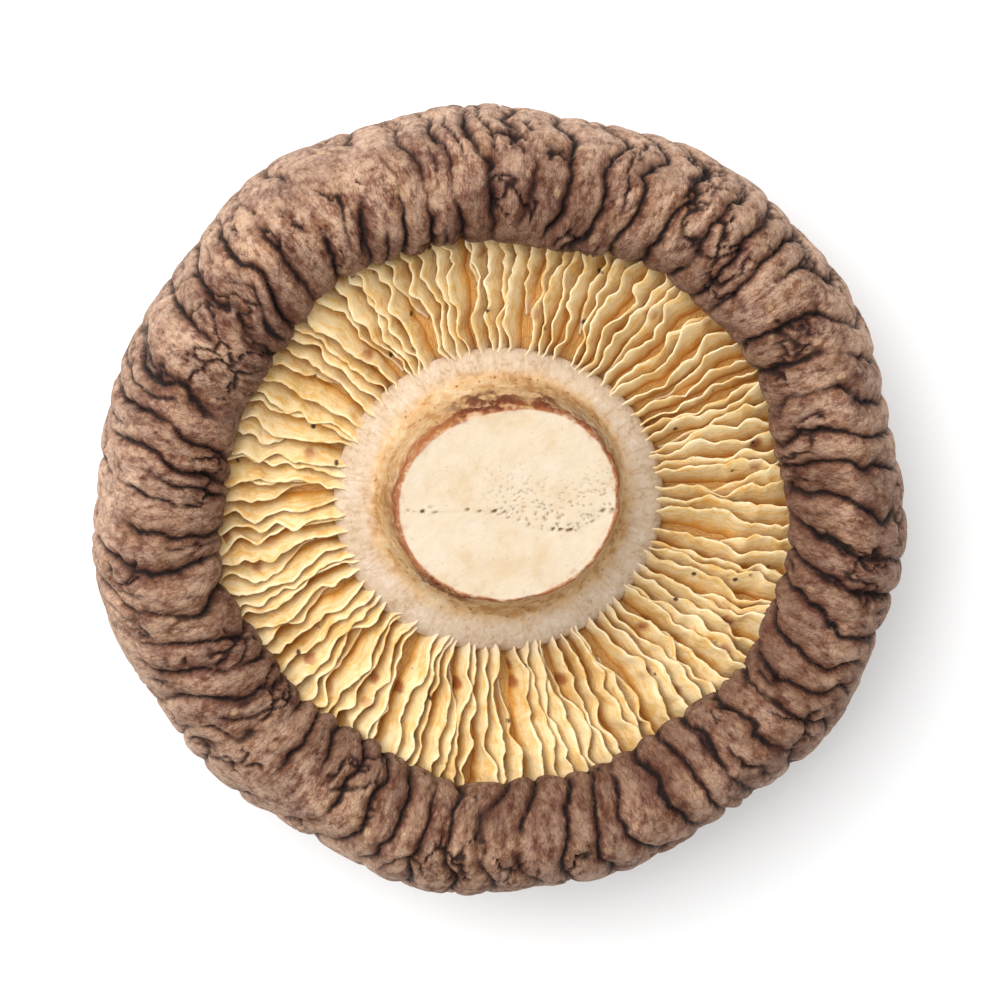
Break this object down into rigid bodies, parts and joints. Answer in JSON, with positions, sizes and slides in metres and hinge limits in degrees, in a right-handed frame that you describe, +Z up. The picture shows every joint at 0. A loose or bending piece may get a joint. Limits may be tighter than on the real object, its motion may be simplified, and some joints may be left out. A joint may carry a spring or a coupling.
{
  "type": "shiitake mushroom",
  "caption": "Dried shiitake mushroom lying on its crown, with a wrinkled rolled rim, wavy gills and a short trimmed stem facing up.",
  "frame": {"origin": "on the resting surface, at the middle of the flat patch of the crown, under the middle of the cap", "axes": "+Z up through the cap and along the stem to its cut face, +X and +Y across the cap; the cut face is longer along X"},
  "size_m": [0.0561, 0.0545, 0.0219],
  "materials": {
    "cap_skin": "matte",
    "gill_flesh": "matte",
    "stem_flesh": "matte"
  },
  "bodies": {
    "root": {"mushroom": "cap_skin"}
  },
  "joints": []
}
